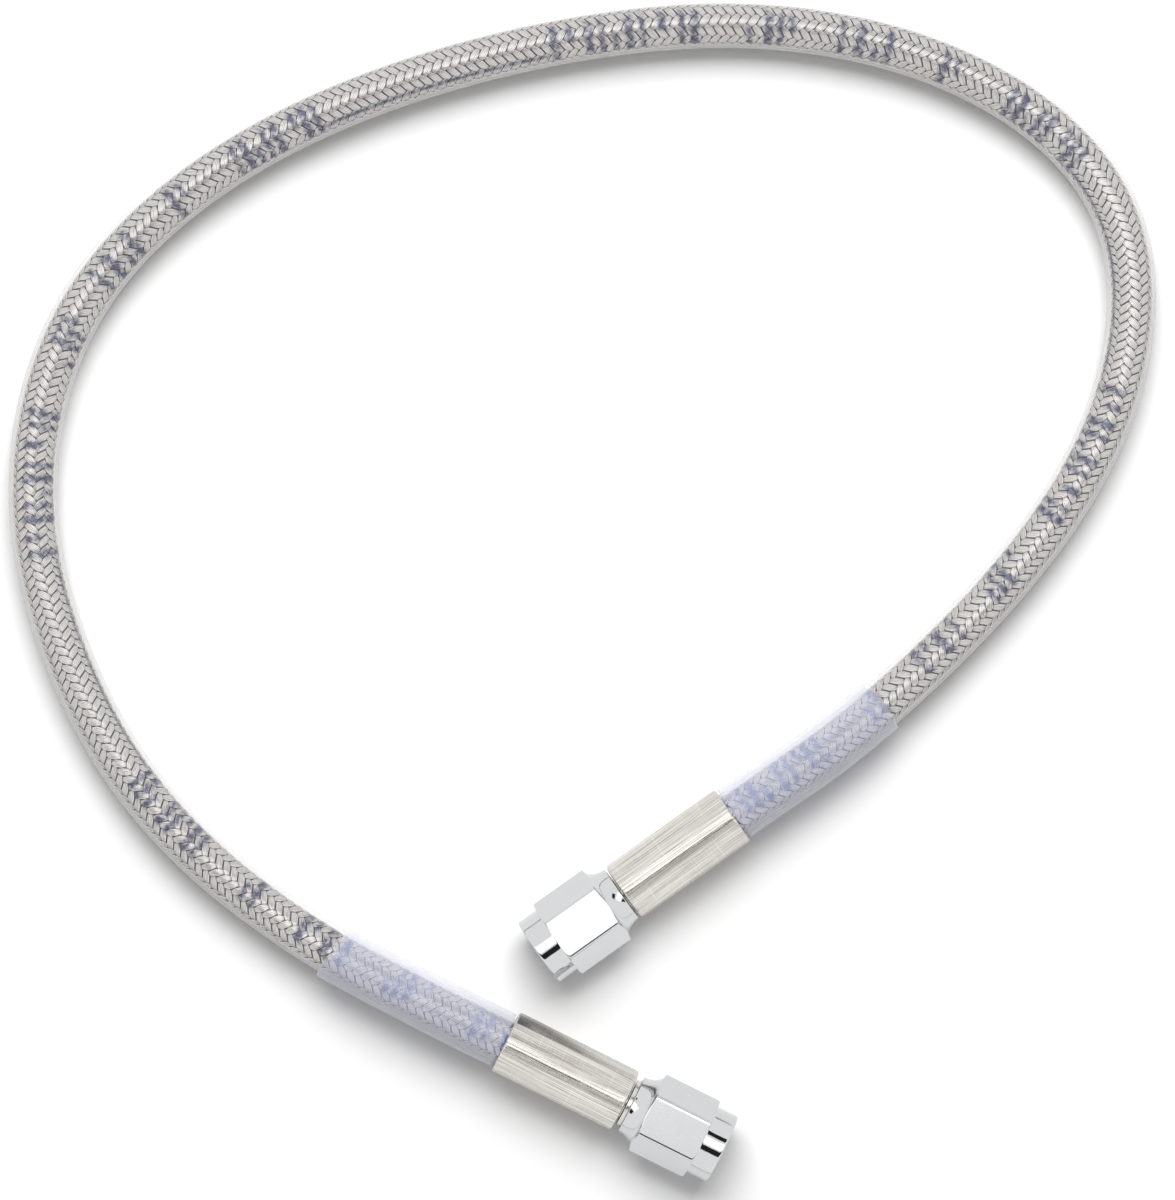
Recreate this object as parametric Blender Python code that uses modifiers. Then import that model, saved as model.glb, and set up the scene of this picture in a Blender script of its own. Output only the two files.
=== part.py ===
"""Braided brake hose assembly with a swivel nut fitting at each end.

A fluoropolymer core tube, a stainless braid over it and a clear cover over the
braid make the hose. Each end has a crimp collar, an insert pushed into the
core, a swivel nut held on the insert's head, and a clear sleeve on the hose.

The assembly lies on the plane z = 0. The nuts stand on a flat of their hexes,
and the hose comes down from the fittings to lie on the same plane. The origin
is below the middle of the box round the metal fittings. Units are metres.
"""

import math

import bmesh
import bpy
import numpy as np
from mathutils import Vector

# Swivel nut, measured along its axis from the front face.
HEX_ACROSS_FLATS = 0.01111
HEX_CORNER_RADIUS = 0.00635
NUT_LENGTH = 0.01525
NUT_FRONT_RADIUS = 0.00545
NUT_FRONT_LENGTH = 0.0034
NUT_NECK_RADIUS = 0.0045
NUT_BELL_START = 0.01245
NUT_BELL_STEPS = 6
THREAD_RADIUS = 0.0043
THREAD_MOUTH_RADIUS = 0.0047
THREAD_DEPTH = 0.0126
LIP_RADIUS = 0.00295
LIP_THICKNESS = 0.0013
COUNTERBORE_RADIUS = 0.00395
EDGE_CHAMFER = 0.00025

# Crimp collar, measured from the end that faces the nut.
COLLAR_LENGTH = 0.020
COLLAR_LIP_RADIUS = 0.0029
COLLAR_LIP_LENGTH = 0.0015
COLLAR_BORE_RADIUS = 0.0033
COLLAR_MOUTH_RADIUS = 0.00395
COLLAR_MOUTH_DEPTH = 0.0064
COLLAR_CHAMFER = 0.0004

# Insert, measured from the same end of the collar; negative is inside it.
INSERT_NOSE = 0.0086
INSERT_SHOULDER = 0.0039
INSERT_HEAD_RADIUS = 0.0040
INSERT_BODY_RADIUS = 0.00255
INSERT_BODY_END = -0.0023
INSERT_BORE_RADIUS = 0.0010
SEAT_MOUTH_RADIUS = 0.0038
SEAT_THROAT_RADIUS = 0.0012
SEAT_HALF_ANGLE = math.radians(37)
FLANGE_RADIUS = 0.0037
FLANGE_BACK = 0.0003
FLANGE_FRONT = 0.0012
BARB_RADIUS = 0.00135
BARB_ROOT_RADIUS = 0.00115
BARB_PITCH = 0.0026
BARB_COUNT = 5
TAIL_END = -0.0168

# Hose layers, inside out, and where they end behind the collar's nut end.
CORE_RADIUS = 0.00235
CORE_WALL = 0.00075
BRAID_RADIUS = 0.0030
BRAID_WALL = 0.00042
COVER_RADIUS = 0.00365
COVER_WALL = 0.00043
SLEEVE_RADIUS = 0.00428
SLEEVE_WALL = 0.0004
BRAID_END = 0.0026
COVER_END = 0.0140
SLEEVE_GAP = 0.0003
STATION_SPACING = 0.012

# Fittings: the centre of each nut's front face, which way it points in plan,
# how far the nut stands off its collar, and the collar's crimped radius.
AXIS_HEIGHT = HEX_ACROSS_FLATS / 2
FITTINGS = {
    "a": {
        "front": (-0.0122, 0.0050),
        "heading": math.radians(215.35),
        "nut_gap": 0.0003,
        "collar_radius": 0.00465,
        "sleeve_length": 0.0273,
    },
    "b": {
        "front": (0.0152, -0.0244),
        "heading": math.radians(333.45),
        "nut_gap": 0.00095,
        "collar_radius": 0.00485,
        "sleeve_length": 0.0287,
    },
}

# The hose's route between the fittings, from a to b.
ROUTE = [
    (0.0327, 0.0368, 0.00520),
    (0.0388, 0.0418, 0.00475),
    (0.0475, 0.0498, 0.00405),
    (0.0557, 0.0583, 0.00375),
    (0.0651, 0.0702, 0.00368),
    (0.0724, 0.0834, 0.00368),
    (0.0758, 0.0949, 0.00368),
    (0.0764, 0.1067, 0.00368),
    (0.0731, 0.1180, 0.00368),
    (0.0658, 0.1273, 0.00368),
    (0.0561, 0.1343, 0.00368),
    (0.0450, 0.1393, 0.00368),
    (0.0302, 0.1429, 0.00368),
    (0.0152, 0.1440, 0.00368),
    (-0.0025, 0.1426, 0.00368),
    (-0.0200, 0.1391, 0.00368),
    (-0.0373, 0.1337, 0.00368),
    (-0.0538, 0.1261, 0.00368),
    (-0.0686, 0.1158, 0.00368),
    (-0.0803, 0.1023, 0.00368),
    (-0.0868, 0.0855, 0.00368),
    (-0.0875, 0.0675, 0.00368),
    (-0.0830, 0.0500, 0.00368),
    (-0.0749, 0.0339, 0.00368),
    (-0.0635, 0.0203, 0.00375),
    (-0.0496, 0.0093, 0.00405),
    (-0.0431, 0.0052, 0.00475),
    (-0.0340, 0.0002, 0.00520),
]
COLLAR_ROUTE_DEPTHS = (BRAID_END, 0.008, 0.014, COLLAR_LENGTH, 0.026)

TURNED_STEPS = 24
MERGE_DISTANCE = 1e-6

PARTS = "braided_hose_assembly"
CUTTERS = "cutters"


def clear_scene():
    """Remove every object that is already there."""
    for existing in list(bpy.data.objects):
        bpy.data.objects.remove(existing, do_unlink=True)


def make_collection(name):
    collection = bpy.data.collections.new(name)
    bpy.context.scene.collection.children.link(collection)
    return collection


def make_material(name, color, metallic, roughness, alpha=1.0):
    material = bpy.data.materials.new(name)
    material.use_nodes = True
    shader = material.node_tree.nodes["Principled BSDF"]
    shader.inputs["Base Color"].default_value = (*color, 1.0)
    shader.inputs["Metallic"].default_value = metallic
    shader.inputs["Roughness"].default_value = roughness
    shader.inputs["Alpha"].default_value = alpha
    return material


def make_object(name, mesh, material, collection, parent=None):
    obj = bpy.data.objects.new(name, mesh)
    mesh.materials.append(material)
    collection.objects.link(obj)
    obj.parent = parent
    return obj


def smooth(mesh, angle=math.radians(35)):
    mesh.shade_smooth()
    mesh.set_sharp_from_angle(angle=angle)


def turned(name, outline, material, collection, parent):
    """Spin a closed outline of (radius, height) points round the local Z axis.

    The outline runs down its outer side and back up its bore.
    """
    mesh = bpy.data.meshes.new(name)
    points = [(radius, 0.0, height) for radius, height in outline]
    edges = [(i, (i + 1) % len(points)) for i in range(len(points))]
    mesh.from_pydata(points, edges, [])
    obj = make_object(name, mesh, material, collection, parent)
    screw = obj.modifiers.new("Turn", "SCREW")
    screw.axis = "Z"
    screw.angle = math.tau
    screw.steps = TURNED_STEPS
    screw.render_steps = TURNED_STEPS
    screw.use_merge_vertices = True
    screw.merge_threshold = MERGE_DISTANCE
    screw.use_smooth_shade = True
    return obj


def bell_outline():
    """The concave run from the hex's rear corners down to the swaged neck."""
    length = NUT_LENGTH - NUT_BELL_START
    drop = HEX_CORNER_RADIUS - NUT_NECK_RADIUS
    points = []
    for step in range(NUT_BELL_STEPS + 1):
        turn = math.pi / 2 * step / NUT_BELL_STEPS
        radius = HEX_CORNER_RADIUS - drop * math.sin(turn)
        depth = NUT_BELL_START + length * (1 - math.cos(turn))
        points.append((radius, -depth))
    return points


def nut_outline():
    """The nut as a turned blank, from its front face at z = 0 to its rear."""
    front = NUT_FRONT_LENGTH
    outline = [
        (THREAD_MOUTH_RADIUS, 0.0),
        (NUT_FRONT_RADIUS - EDGE_CHAMFER, 0.0),
        (NUT_FRONT_RADIUS, -EDGE_CHAMFER),
        (NUT_FRONT_RADIUS, -front),
        (HEX_CORNER_RADIUS - EDGE_CHAMFER, -front),
        (HEX_CORNER_RADIUS, -front - EDGE_CHAMFER),
    ]
    outline += bell_outline()
    outline += [
        (COUNTERBORE_RADIUS, -NUT_LENGTH),
        (COUNTERBORE_RADIUS, -THREAD_DEPTH - LIP_THICKNESS),
        (LIP_RADIUS, -THREAD_DEPTH - LIP_THICKNESS),
        (LIP_RADIUS, -THREAD_DEPTH),
        (THREAD_RADIUS, -THREAD_DEPTH),
        (THREAD_RADIUS, THREAD_RADIUS - THREAD_MOUTH_RADIUS),
    ]
    return outline


def add_hex_flats(nut, cutters, parent):
    """Keep only what lies inside a hexagonal bar with two level flats."""
    bar_mesh = bpy.data.meshes.new(nut.name + "_hex_bar")
    bar = bmesh.new()
    bmesh.ops.create_cone(
        bar,
        cap_ends=True,
        segments=6,
        radius1=HEX_ACROSS_FLATS / math.sqrt(3),
        radius2=HEX_ACROSS_FLATS / math.sqrt(3),
        depth=2 * NUT_LENGTH,
    )
    bar.to_mesh(bar_mesh)
    bar.free()
    cutter = bpy.data.objects.new(bar_mesh.name, bar_mesh)
    cutters.objects.link(cutter)
    cutter.parent = parent
    cutter.location = nut.location
    # A hex bar starts with a corner on +Y, so its flats already face +X and -X,
    # which are straight down and up once the fitting is laid on its side.
    cutter.hide_render = True
    cutter.display_type = "WIRE"
    keep = nut.modifiers.new("Hex flats", "BOOLEAN")
    keep.operation = "INTERSECT"
    keep.solver = "EXACT"
    keep.object = cutter


def insert_outline():
    """Seat, head, swivel groove, flange, body and barbed tail."""
    seat_depth = (SEAT_MOUTH_RADIUS - SEAT_THROAT_RADIUS) / math.tan(SEAT_HALF_ANGLE)
    outline = [
        (SEAT_MOUTH_RADIUS, INSERT_NOSE),
        (INSERT_HEAD_RADIUS, INSERT_NOSE),
        (INSERT_HEAD_RADIUS, INSERT_SHOULDER),
        (INSERT_BODY_RADIUS, INSERT_SHOULDER),
        (INSERT_BODY_RADIUS, FLANGE_FRONT),
        (FLANGE_RADIUS, FLANGE_FRONT),
        (FLANGE_RADIUS, FLANGE_BACK),
        (INSERT_BODY_RADIUS, FLANGE_BACK),
        (INSERT_BODY_RADIUS, INSERT_BODY_END),
    ]
    for barb in range(BARB_COUNT):
        top = INSERT_BODY_END - barb * BARB_PITCH
        outline.append((BARB_RADIUS, top))
        outline.append((BARB_ROOT_RADIUS, top - BARB_PITCH))
    outline += [
        (BARB_ROOT_RADIUS, TAIL_END),
        (INSERT_BORE_RADIUS, TAIL_END),
        (INSERT_BORE_RADIUS, INSERT_NOSE - seat_depth - 0.0005),
        (SEAT_THROAT_RADIUS, INSERT_NOSE - seat_depth),
    ]
    return outline


def collar_outline(radius):
    """The crimped collar, from its nut end at z = 0 to its mouth."""
    return [
        (COLLAR_LIP_RADIUS, 0.0),
        (radius - COLLAR_CHAMFER, 0.0),
        (radius, -COLLAR_CHAMFER),
        (radius, -COLLAR_LENGTH + COLLAR_CHAMFER),
        (radius - COLLAR_CHAMFER, -COLLAR_LENGTH),
        (COLLAR_MOUTH_RADIUS, -COLLAR_LENGTH),
        (COLLAR_MOUTH_RADIUS, -COLLAR_LENGTH + COLLAR_MOUTH_DEPTH),
        (COLLAR_BORE_RADIUS, -COLLAR_LENGTH + COLLAR_MOUTH_DEPTH),
        (COLLAR_BORE_RADIUS, -COLLAR_LIP_LENGTH),
        (COLLAR_LIP_RADIUS, -COLLAR_LIP_LENGTH),
    ]


def outward(fitting):
    """The way a fitting points, away from the hose."""
    return Vector((math.cos(fitting["heading"]), math.sin(fitting["heading"]), 0.0))


def collar_face(fitting):
    """The centre of the collar end that faces the nut."""
    front = Vector((*fitting["front"], AXIS_HEIGHT))
    return front - outward(fitting) * (NUT_LENGTH + fitting["nut_gap"])


def build_fitting(label, fitting, parts, cutters, materials):
    """One empty on the fitting's axis, with the turned pieces along its Z."""
    axis = bpy.data.objects.new("fitting_axis_" + label, None)
    parts.objects.link(axis)
    axis.location = collar_face(fitting)
    axis.rotation_euler = (0.0, math.pi / 2, fitting["heading"])

    nut = turned("swivel_nut_" + label, nut_outline(), materials["nut"], parts, axis)
    nut.location.z = NUT_LENGTH + fitting["nut_gap"]
    add_hex_flats(nut, cutters, axis)

    turned("insert_" + label, insert_outline(), materials["insert"], parts, axis)
    collar = collar_outline(fitting["collar_radius"])
    turned("crimp_collar_" + label, collar, materials["collar"], parts, axis)


def route_points():
    """Every point of the hose's centre line, from inside one collar to the other."""
    first = FITTINGS["a"]
    last = FITTINGS["b"]
    points = [collar_face(first) - outward(first) * depth for depth in COLLAR_ROUTE_DEPTHS]
    points += [Vector(point) for point in ROUTE]
    points += [
        collar_face(last) - outward(last) * depth for depth in reversed(COLLAR_ROUTE_DEPTHS)
    ]
    return np.array(points)


def natural_spline(points, samples_per_span=24):
    """Sample a natural cubic spline through the points."""
    spans = np.linalg.norm(np.diff(points, axis=0), axis=1)
    count = len(points)
    system = np.eye(count)
    right = np.zeros((count, 3))
    for i in range(1, count - 1):
        before = spans[i - 1]
        after = spans[i]
        system[i, i - 1:i + 2] = (before, 2 * (before + after), after)
        slope_after = (points[i + 1] - points[i]) / after
        slope_before = (points[i] - points[i - 1]) / before
        right[i] = 6 * (slope_after - slope_before)
    bend = np.linalg.solve(system, right)
    samples = []
    for i in range(count - 1):
        span = spans[i]
        for u in np.arange(samples_per_span) / samples_per_span:
            ahead = u * span
            behind = span - ahead
            samples.append(
                (bend[i] * behind ** 3 + bend[i + 1] * ahead ** 3) / (6 * span)
                + (points[i] / span - bend[i] * span / 6) * behind
                + (points[i + 1] / span - bend[i + 1] * span / 6) * ahead
            )
    samples.append(points[-1])
    return np.array(samples)


class HoseLine:
    """The smooth centre line, read by length from its first point."""

    def __init__(self):
        self.samples = natural_spline(route_points())
        steps = np.linalg.norm(np.diff(self.samples, axis=0), axis=1)
        self.lengths = np.concatenate([[0.0], np.cumsum(steps)])
        self.total = self.lengths[-1]

    def at(self, length):
        return [float(np.interp(length, self.lengths, self.samples[:, k])) for k in range(3)]

    def stations(self, start, end):
        """Points from start to end; tubes on one line share the inner ones."""
        marks = np.arange(STATION_SPACING, self.total, STATION_SPACING)
        clear = STATION_SPACING / 4
        inner = [mark for mark in marks if start + clear < mark < end - clear]
        return [self.at(length) for length in [start, *inner, end]]


def build_tube(name, points, radius, wall, material, collection):
    """A hollow tube: an open swept surface, thickened inwards."""
    curve = bpy.data.curves.new(name + "_line", "CURVE")
    curve.dimensions = "3D"
    curve.twist_mode = "Z_UP"
    curve.bevel_depth = radius
    curve.bevel_resolution = 4
    spline = curve.splines.new("POLY")
    spline.points.add(len(points) - 1)
    for target, point in zip(spline.points, points):
        target.co = (*point, 1.0)
    line = bpy.data.objects.new(name + "_line", curve)
    collection.objects.link(line)
    graph = bpy.context.evaluated_depsgraph_get()
    mesh = bpy.data.meshes.new_from_object(line.evaluated_get(graph))
    matrix = line.matrix_world.copy()
    bpy.data.objects.remove(line, do_unlink=True)
    mesh.name = name
    mesh.materials.clear()
    tube = make_object(name, mesh, material, collection)
    tube.matrix_world = matrix
    smooth(mesh)
    solidify = tube.modifiers.new("Wall", "SOLIDIFY")
    solidify.thickness = wall
    solidify.offset = -1.0
    solidify.use_even_offset = True
    return tube


def build_hose(parts, materials):
    line = HoseLine()
    covered = COVER_END - BRAID_END
    collar_mouth = COLLAR_LENGTH - BRAID_END
    whole = line.stations(0.0, line.total)
    build_tube("hose_core", whole, CORE_RADIUS, CORE_WALL, materials["core"], parts)
    build_tube("hose_braid", whole, BRAID_RADIUS, BRAID_WALL, materials["braid"], parts)
    cover = line.stations(covered, line.total - covered)
    build_tube("hose_cover", cover, COVER_RADIUS, COVER_WALL, materials["cover"], parts)

    start = collar_mouth + SLEEVE_GAP
    sleeve = line.stations(start, start + FITTINGS["a"]["sleeve_length"])
    build_tube("end_sleeve_a", sleeve, SLEEVE_RADIUS, SLEEVE_WALL, materials["sleeve"], parts)
    end = line.total - start
    sleeve = line.stations(end - FITTINGS["b"]["sleeve_length"], end)
    build_tube("end_sleeve_b", sleeve, SLEEVE_RADIUS, SLEEVE_WALL, materials["sleeve"], parts)


def make_materials():
    return {
        "nut": make_material("Chrome", (0.86, 0.87, 0.88), 1.0, 0.08),
        "collar": make_material("Crimped steel", (0.72, 0.69, 0.65), 1.0, 0.32),
        "insert": make_material("Turned steel", (0.70, 0.69, 0.67), 1.0, 0.22),
        "core": make_material("Fluoropolymer", (0.88, 0.88, 0.86), 0.0, 0.45),
        "braid": make_material("Stainless braid", (0.66, 0.64, 0.61), 1.0, 0.30),
        "cover": make_material("Clear cover", (0.92, 0.92, 0.94), 0.0, 0.15, 0.3),
        "sleeve": make_material("Clear sleeve", (0.80, 0.82, 0.95), 0.0, 0.25, 0.4),
    }


def main():
    clear_scene()
    parts = make_collection(PARTS)
    cutters = make_collection(CUTTERS)
    materials = make_materials()
    for label, fitting in FITTINGS.items():
        build_fitting(label, fitting, parts, cutters, materials)
    build_hose(parts, materials)


main()
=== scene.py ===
"""Looks for the braided hose assembly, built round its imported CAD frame.

The hose is a white core, a woven wire braid that carries the ink, a clear cover
and a milky sleeve at each end. Each end has a crimped collar, a turned insert
and a chromed swivel nut with a real thread. Units are metres.
"""

import math

import bpy
import numpy as np
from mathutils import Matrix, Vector


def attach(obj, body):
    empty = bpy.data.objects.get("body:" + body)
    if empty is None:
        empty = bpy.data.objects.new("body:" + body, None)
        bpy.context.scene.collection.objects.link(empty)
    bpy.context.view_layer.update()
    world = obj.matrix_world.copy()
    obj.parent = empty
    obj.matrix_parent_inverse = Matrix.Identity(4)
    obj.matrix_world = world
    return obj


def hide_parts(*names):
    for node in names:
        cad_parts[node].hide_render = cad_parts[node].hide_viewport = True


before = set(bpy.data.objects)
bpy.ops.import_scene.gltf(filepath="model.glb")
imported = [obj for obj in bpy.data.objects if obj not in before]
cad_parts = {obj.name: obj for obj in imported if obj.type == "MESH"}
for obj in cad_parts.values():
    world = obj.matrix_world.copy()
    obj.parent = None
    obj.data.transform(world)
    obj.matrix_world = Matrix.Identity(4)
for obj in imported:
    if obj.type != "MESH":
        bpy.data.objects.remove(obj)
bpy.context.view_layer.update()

# The hose's route between the fittings, from a to b, as in the CAD model.
ROUTE = [
    (0.0327, 0.0368, 0.00520),
    (0.0388, 0.0418, 0.00475),
    (0.0475, 0.0498, 0.00405),
    (0.0557, 0.0583, 0.00375),
    (0.0651, 0.0702, 0.00368),
    (0.0724, 0.0834, 0.00368),
    (0.0758, 0.0949, 0.00368),
    (0.0764, 0.1067, 0.00368),
    (0.0731, 0.1180, 0.00368),
    (0.0658, 0.1273, 0.00368),
    (0.0561, 0.1343, 0.00368),
    (0.0450, 0.1393, 0.00368),
    (0.0302, 0.1429, 0.00368),
    (0.0152, 0.1440, 0.00368),
    (-0.0025, 0.1426, 0.00368),
    (-0.0200, 0.1391, 0.00368),
    (-0.0373, 0.1337, 0.00368),
    (-0.0538, 0.1261, 0.00368),
    (-0.0686, 0.1158, 0.00368),
    (-0.0803, 0.1023, 0.00368),
    (-0.0868, 0.0855, 0.00368),
    (-0.0875, 0.0675, 0.00368),
    (-0.0830, 0.0500, 0.00368),
    (-0.0749, 0.0339, 0.00368),
    (-0.0635, 0.0203, 0.00375),
    (-0.0496, 0.0093, 0.00405),
    (-0.0431, 0.0052, 0.00475),
    (-0.0340, 0.0002, 0.00520),
]

# Fittings, as in the CAD model: the centre of each nut's front face, which way
# it points in plan, how far the nut stands off its collar, and the radius of
# the crimped collar. The sleeve's length is measured from the collar's mouth.
AXIS_HEIGHT = 0.005555
FITTINGS = {
    "a": {
        "front": (-0.0122, 0.0050),
        "heading": math.radians(215.35),
        "nut_gap": 0.0003,
        "collar_radius": 0.00465,
        "sleeve_length": 0.0273,
    },
    "b": {
        "front": (0.0152, -0.0244),
        "heading": math.radians(333.45),
        "nut_gap": 0.00095,
        "collar_radius": 0.00485,
        "sleeve_length": 0.0287,
    },
}

# Depths behind a collar's outer face at which the line keeps to the fitting's
# axis. The first is where the core and the braid begin.
BRAID_END = 0.0026
STRAIGHT_DEPTHS = (BRAID_END, 0.008, 0.014, 0.020, 0.026)

# Swivel nut, measured along its axis from the front face.
HEX_APOTHEM = 0.005555
HEX_CORNER_RADIUS = 0.00635
NUT_LENGTH = 0.01525
NUT_FRONT_RADIUS = 0.00545
NUT_FRONT_LENGTH = 0.0034
NUT_NECK_RADIUS = 0.0045
NUT_BELL_START = 0.01245
THREAD_ROOT_RADIUS = 0.00472
THREAD_CREST_RADIUS = 0.0043
THREAD_PITCH = 0.001058
THREAD_END = 0.0112
THREAD_STEEPNESS = 2.6
THREAD_CREST_FLAT = 0.15
THREAD_LEAD_IN = 0.3
NUT_LIP_FRONT = 0.0126
NUT_LIP_BACK = 0.0139
NUT_LIP_RADIUS = 0.00295
NUT_COUNTERBORE_RADIUS = 0.00395
NUT_MOUTH_CHAMFER = 0.00035
NUT_BELL_STEPS = 14
NUT_STEP = 0.00015
NUT_STEPS_ROUND = 300
NUT_SKIN = 0.00015
SAME_RADIUS = 0.00001
HEX_BLEND = 0.0001

# Crimp collar, measured inwards from the end that faces the nut.
COLLAR_LENGTH = 0.020
COLLAR_LIP_RADIUS = 0.0029
COLLAR_LIP_LENGTH = 0.0015
COLLAR_BORE_RADIUS = 0.0033
COLLAR_MOUTH_RADIUS = 0.00395
COLLAR_MOUTH_DEPTH = 0.0064
COLLAR_EDGE = 0.0004
COLLAR_STEP = 0.0004
COLLAR_STEPS_ROUND = 240
CRIMP_DIES = 8
CRIMP_FLAT_DEPTH = 0.00005
CRIMP_RIDGE = 0.00005
CRIMP_RIDGE_WIDTH = 0.09
CRIMP_FADE = 0.04
CRIMP_CLEARANCE = 0.00002

# Insert, measured outwards from the same end of the collar.
INSERT_NOSE = 0.0086
INSERT_SHOULDER = 0.0039
INSERT_HEAD_RADIUS = 0.0040
INSERT_BODY_RADIUS = 0.00255
INSERT_BODY_END = -0.0023
INSERT_BORE_RADIUS = 0.0010
SEAT_MOUTH_RADIUS = 0.0038
SEAT_THROAT_RADIUS = 0.0012
SEAT_HALF_ANGLE = math.radians(37)
FLANGE_RADIUS = 0.0037
FLANGE_BACK = 0.0003
FLANGE_FRONT = 0.0012
BARB_RADIUS = 0.00135
BARB_ROOT_RADIUS = 0.00115
BARB_PITCH = 0.0026
BARB_COUNT = 5
TAIL_END = -0.0168
INSERT_EDGE = 0.00008
INSERT_STEP = 0.0008
INSERT_STEPS_ROUND = 128

# Hose layers. The braid's crowns touch the inside of the cover.
CORE_RADIUS = 0.00235
CORE_WALL = 0.00075
COVER_RADIUS = 0.00365
COVER_INNER_RADIUS = 0.00324
SLEEVE_RADIUS = 0.00428
SLEEVE_WALL = 0.0004
SLEEVE_FLARE = 0.00012
SLEEVE_FLARE_REACH = 0.0012
SLEEVE_SWELL = 0.00004
SLEEVE_SWELL_REACH = 0.0061
SLEEVE_RIPPLE = 0.00003
SLEEVE_RIPPLE_REACH = 0.0033
SLEEVE_LIP = 0.00012
SLEEVE_LIP_REACH = 0.0004
SLEEVE_SKEW = 0.00035
COVER_END = 0.0140
SLEEVE_GAP = 0.0003
CORD_RINGS = 224

# The hose's meshes: metres for each ring, and points round each ring.
CORE_MESH = (0.0015, 40)
COVER_MESH = (0.001, 64)
SLEEVE_MESH = (0.0004, 64)

# Braid: twelve ribbons each way, two over and two under, of five wires each.
# Places along a ribbon are counted in crossings with the ribbons of the other hand.
CARRIERS = 12
CROSSINGS_PER_WAVE = 4
BRAID_LEAD = 0.0174
BRAID_MIDDLE_RADIUS = 0.003035
BRAID_WAVE = 0.000085
RIBBON_THICKNESS = 0.00015
RIBBON_COVER = 1.0
RIBBON_PINCH = 0.5
WIRES = 5
WIRE_RELIEF = 0.00007
WAVE_SHARPNESS = 2.2
RIBBONS_PER_PIECE = 4
BRAID_TURN = math.radians(-13)
BRAID_TRIM = 0.0006
OVER_ROWS = (-0.36, 0.05, 0.5, 0.95, 1.36)
UNDER_ROWS = (1.68, 2.5, 3.32)

# Painted shade on the braid's wires, from nought for bare steel to one for the painted dark of a
# gap.
# A wire's crown is drawn up to its shade, and a valley between wires from its first
# value up to the sum of both; both vary from wire to wire. A ribbon's wave runs from one
# on top to minus one underneath, and painted shade darkens the ribbon where the wave
# falls below DIVE_START. EDGE_SHADE is the painted shade at a ribbon's edges.
CROWN_SHADE = 0.32
VALLEY_SHADE = (0.45, 0.5)
EDGE_SHADE = 0.5
DIVE_START = 0.25
WIRE_VARIATION = 2.4
RIBBON_VARIATION = 1.7

# The cover's ink, drawn on the braid just under it: plain upright bars in groups
# that repeat along the hose, measured from the start of the line that leads into
# them. Each bar has a place in metres and a half width in millimetres. Every third
# bar is short, and the short ones stand high and low by turns.
PRINT_START = 0.088
PRINT_PERIOD = 0.1218
LAY_LINE = (0.0, 0.036)
LAY_LINE_ANGLE = math.radians(54)
LAY_LINE_HALF_WIDTH = math.radians(6)
BARS = (
    (0.0364, 0.46), (0.0381, 0.62), (0.0399, 0.46),
    (0.0429, 0.62), (0.0447, 0.46), (0.0464, 0.46), (0.0481, 0.62), (0.0499, 0.46),
    (0.0594, 0.46), (0.0612, 0.62),
    (0.0701, 0.62), (0.0720, 0.46), (0.0744, 0.72), (0.0773, 0.46),
    (0.0850, 0.46), (0.0866, 0.46), (0.0884, 0.62), (0.0912, 0.46),
    (0.0996, 0.62), (0.1014, 0.46), (0.1044, 0.62),
    (0.1074, 0.46), (0.1094, 0.62), (0.1115, 0.46), (0.1135, 0.46), (0.1155, 0.62),
    (0.1183, 0.46), (0.1207, 0.62),
)
PRINT_TOP = math.radians(76)
PRINT_MIDDLE = math.radians(22)
PRINT_BOTTOM = math.radians(-32)
PRINT_DRIFT = math.radians(-8)
PRINT_DRIFT_LENGTH = 0.30
BAR_EDGE = 0.00015
BAR_TIP = math.radians(2)
LAY_LINE_EDGE = math.radians(1.5)
LAY_LINE_TIP = 0.0005

# Clear plastic: how much its skin mirrors face on and at its rim, and how far
# the skin and the wall inside turn away round the tube while their haze gathers.
PLASTIC_MIRROR = 0.035
PLASTIC_RIM_MIRROR = 0.45
SKIN_HAZE_RANGE = (0.22, 0.72)
WALL_HAZE_RANGE = (0.50, 0.86)
CLEAR = (0.99, 0.988, 0.985, 1)
LAVENDER = (0.975, 0.978, 1.0, 1)
CLOUD_SHADE = 0.93

# Camera over the middle of the view, looking straight down.
VIEW_CENTER = (-0.0049, 0.0577)
VIEW_HEIGHT = 0.1794
CAMERA_HEIGHT = 0.900
SUBJECT_HEIGHT = 0.005
SENSOR = 36.0

# Light: an even fill, and what shiny surfaces see of the tent round the table.
# Places in the tent are given by how far a direction leans in x and in y for each
# unit that it rises.
FILL_LIGHT = 0.34
TENT_LIGHT = 1.1
TENT_TOP_LIGHT = 1.85
TENT_TOP = {"x": (-0.5, 0.5, 0.05), "y": (-0.076, 0.30, 0.006)}
TENT_SLOTS = (
    {"x": (-0.45, 0.45, 0.01), "y": (-0.44, -0.145, 0.01)},
    {"x": (0.14, 0.60, 0.01), "y": (0.42, 0.70, 0.01)},
)
SLOT_SHADE = 0.02
FLOOR_HALF_SIDE = 3.0


# ---------------------------------------------------------------- the line

def outward(fitting):
    """The way a fitting points, away from the hose."""
    return np.array([math.cos(fitting["heading"]), math.sin(fitting["heading"]), 0.0])


def collar_face(fitting):
    """The centre of the collar end that faces the nut."""
    front = np.array([*fitting["front"], AXIS_HEIGHT])
    return front - outward(fitting) * (NUT_LENGTH + fitting["nut_gap"])


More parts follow.
